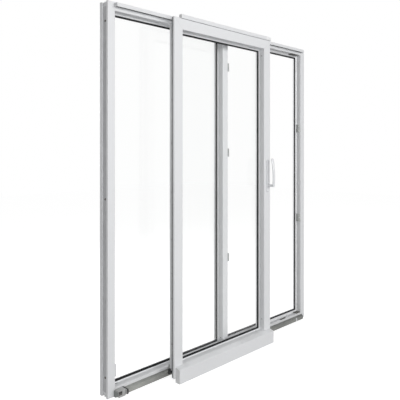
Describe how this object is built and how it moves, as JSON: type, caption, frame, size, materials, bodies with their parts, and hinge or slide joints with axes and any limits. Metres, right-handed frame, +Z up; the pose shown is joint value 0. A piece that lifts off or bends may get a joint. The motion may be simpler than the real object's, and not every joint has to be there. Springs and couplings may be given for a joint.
{
  "type": "glass sliding patio door",
  "caption": "White framed patio door with a fixed light and a glazed leaf that slides on rails in front of the frame, with a turning lever handle.",
  "frame": {"origin": "on the flat underside of the sill, at the middle of the frame's width and depth", "axes": "+X along the wall to the right as seen from the room, +Y outdoors, +Z up"},
  "size_m": [1.844, 0.2455, 2.1],
  "materials": {
    "white_pvc": "smooth white extruded plastic, low sheen",
    "white_bead": "smooth white extruded plastic, low sheen",
    "clear_glass": "clear float glass",
    "black_rubber": "matt black extruded seal",
    "white_aluminium": "white powder-coated aluminium",
    "grey_aluminium": "satin anodised, grey",
    "grey_plastic": "moulded, matt grey",
    "white_plastic": "moulded, matt white",
    "black_plastic": "moulded, matt black",
    "zinc_steel": "zinc-plated pressed steel",
    "white_lacquer": "white lacquered casting"
  },
  "bodies": {
    "frame": {"frame_head": "white_pvc", "frame_sill": "white_pvc", "left_jamb": "white_pvc", "right_jamb": "white_pvc", "mullion": "white_pvc", "fixed_glass": "clear_glass", "fixed_glass_gasket": "black_rubber", "fixed_glass_beads": "white_bead", "doorway_stop": "white_bead", "doorway_seal": "black_rubber", "guide_rail": "white_aluminium", "guide_rail_caps": "white_plastic", "running_rail": "grey_aluminium", "running_rail_caps": "grey_plastic", "rail_end_stop": "grey_plastic", "rail_clip": "white_plastic", "jamb_block": "white_plastic", "jamb_keeps": "zinc_steel", "mullion_keeps": "zinc_steel", "head_keep": "zinc_steel", "sill_keep": "zinc_steel", "corner_keep": "black_plastic"},
    "sash": {"sash_top_rail": "white_pvc", "sash_bottom_rail": "white_pvc", "sash_left_stile": "white_pvc", "sash_right_stile": "white_pvc", "sash_glass": "clear_glass", "sash_glass_gasket": "black_rubber", "sash_glass_beads": "white_bead", "sash_overlap_seal": "black_rubber", "left_lock_strip": "zinc_steel", "right_lock_strip": "zinc_steel", "top_cover": "white_aluminium", "top_cover_caps": "white_plastic", "bottom_cover": "white_aluminium", "bottom_cover_caps": "white_plastic", "left_carriage": "zinc_steel", "right_carriage": "zinc_steel", "carriage_rollers": "grey_plastic", "carriage_buffer": "black_plastic", "left_stay_arm": "zinc_steel", "right_stay_arm": "zinc_steel", "guide_sliders": "black_plastic", "handle_backplate": "white_lacquer"},
    "handle": {"handle_lever": "white_lacquer"}
  },
  "joints": [
    {"name": "sash_slide", "type": "slide", "parent": "frame", "child": "sash", "axis": [1, 0, 0], "range_m": [-0.282, 0.557]},
    {"name": "handle_turn", "type": "hinge", "parent": "sash", "child": "handle", "pos_m": [0.3035, -0.1575, 1.071], "axis": [0, -1, 0], "range_deg": [0, 180]}
  ]
}
